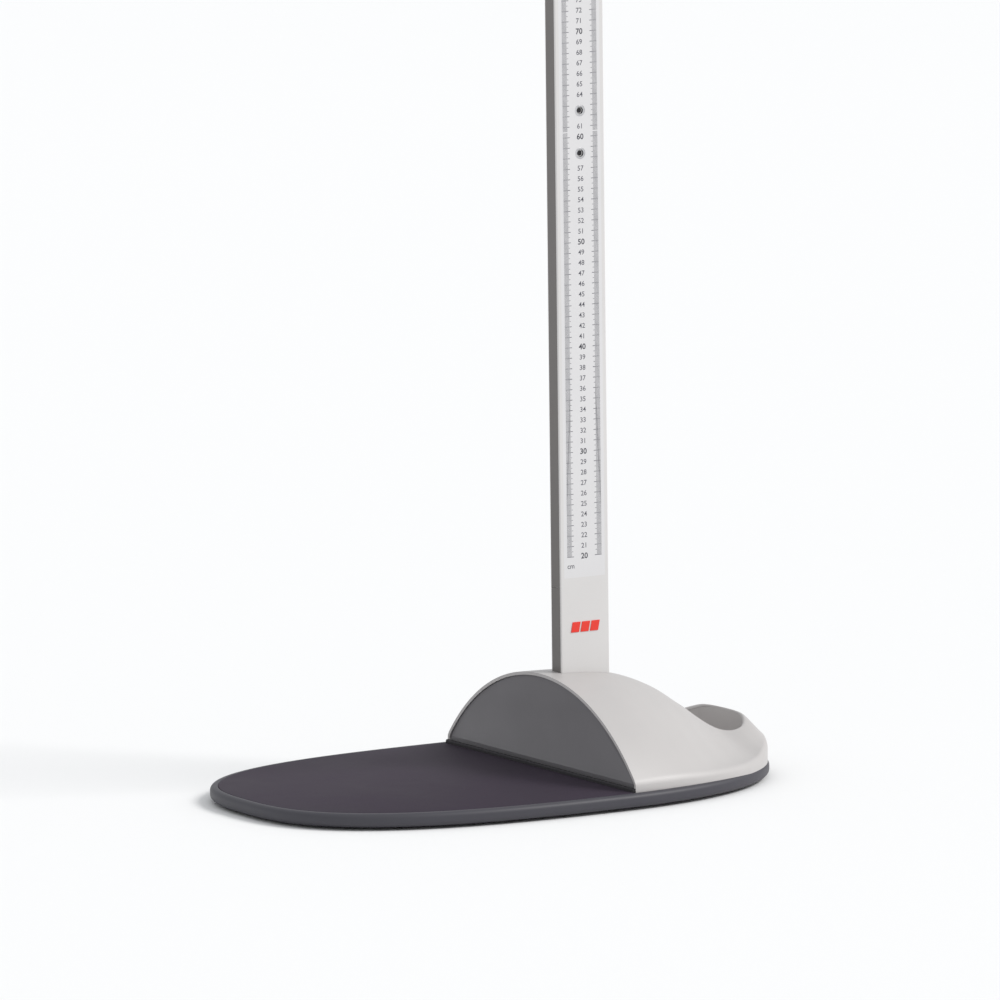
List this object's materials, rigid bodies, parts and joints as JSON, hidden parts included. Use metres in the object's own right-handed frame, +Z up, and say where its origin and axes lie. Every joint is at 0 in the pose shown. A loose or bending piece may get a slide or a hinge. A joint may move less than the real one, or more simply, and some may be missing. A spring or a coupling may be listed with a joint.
{
  "type": "height measuring station",
  "caption": "Free-standing height measuring station: oval foot plate, domed foot cover with hand recess, ruled column, and a braked head slide with a folding head plate.",
  "frame": {"origin": "centre of the base outline on the floor, under the foot pads", "axes": "+X from the round foot end to the tail, -Y is the ruled face of the column, +Z up along the column"},
  "size_m": [0.5517, 0.3632, 2.12],
  "materials": {
    "dark_plastic": "dark moulded plastic, matt",
    "dark_edge": "dark violet-grey, fine grain, rounded edge",
    "mat_rubber": "dark violet-grey sheet with a fine grain",
    "seal_rubber": "black soft rubber",
    "white_plastic": "light grey-white moulded plastic, fine grain",
    "grey_plastic": "mid-grey moulded plastic, fine grain",
    "cast_metal": "cast and machined",
    "screw_steel": "bright zinc plate",
    "column_paint": "satin grey-white powder coat on aluminium extrusion",
    "rule_film": "printed film, satin",
    "splice_metal": "extruded, mill finish",
    "red_mark": "red, smooth",
    "brake_rubber": "black friction rubber",
    "clear_pane": "clear polished plastic"
  },
  "bodies": {
    "base": {"badge": "red_mark", "base_cover": "white_plastic", "base_plate": "dark_plastic", "clamp_bolt_1": "screw_steel", "clamp_bolt_2": "screw_steel", "column_1": "column_paint", "column_2": "column_paint", "column_3": "column_paint", "column_4": "column_paint", "cover_screw_1": "screw_steel", "cover_screw_2": "screw_steel", "cover_screw_3": "screw_steel", "cover_screw_4": "screw_steel", "edge_trim": "dark_edge", "foot_bracket": "cast_metal", "foot_mat": "mat_rubber", "foot_pad_1": "seal_rubber", "foot_pad_2": "seal_rubber", "foot_pad_3": "seal_rubber", "foot_pad_4": "seal_rubber", "foot_pad_5": "seal_rubber", "foot_pad_6": "seal_rubber", "grip_cup": "white_plastic", "guide_strip": "grey_plastic", "heel_panel": "grey_plastic", "heel_seal": "seal_rubber", "lower_stop": "grey_plastic", "plate_screw_1": "screw_steel", "plate_screw_2": "screw_steel", "plate_screw_3": "screw_steel", "plate_screw_4": "screw_steel", "rule_1": "rule_film", "rule_2": "rule_film", "rule_3": "rule_film", "rule_4": "rule_film", "splice_1": "splice_metal", "splice_2": "splice_metal", "splice_3": "splice_metal", "splice_screw_1": "screw_steel", "splice_screw_2": "screw_steel", "splice_screw_3": "screw_steel", "splice_screw_4": "screw_steel", "splice_screw_5": "screw_steel", "splice_screw_6": "screw_steel", "top_cap": "white_plastic"},
    "slide": {"slide_front": "white_plastic", "slide_rear": "white_plastic", "window": "clear_pane", "pointer": "red_mark", "glide_front": "grey_plastic", "glide_rear": "grey_plastic", "hinge_pin": "screw_steel", "brake_spring": "screw_steel", "slide_screw_1": "screw_steel", "slide_screw_2": "screw_steel", "slide_screw_3": "screw_steel", "slide_screw_4": "screw_steel"},
    "head": {"head_plate": "white_plastic"},
    "button": {"brake_button": "grey_plastic"},
    "shoe": {"brake_shoe": "brake_rubber"}
  },
  "joints": [
    {"name": "head_slide", "type": "slide", "parent": "base", "child": "slide", "axis": [0, 0, 1], "range_m": [-1.3007, 0.5587]},
    {"name": "head_plate_fold", "type": "hinge", "parent": "slide", "child": "head", "pos_m": [0.04785, 0, 1.524], "axis": [0, 1, 0], "range_deg": [0, 90]},
    {"name": "button_press", "type": "slide", "parent": "slide", "child": "button", "axis": [0, 0, 1], "range_m": [-0.004, 0], "stiffness_N_per_m": 600, "springref_m": 0.003, "deforming": ["brake_spring"]},
    {"name": "brake_release", "type": "slide", "parent": "slide", "child": "shoe", "axis": [1, 0, 0], "range_m": [0, 0.001]}
  ],
  "couplings": [
    {"joint": "brake_release", "follows": "button_press", "ratio": -0.25}
  ]
}
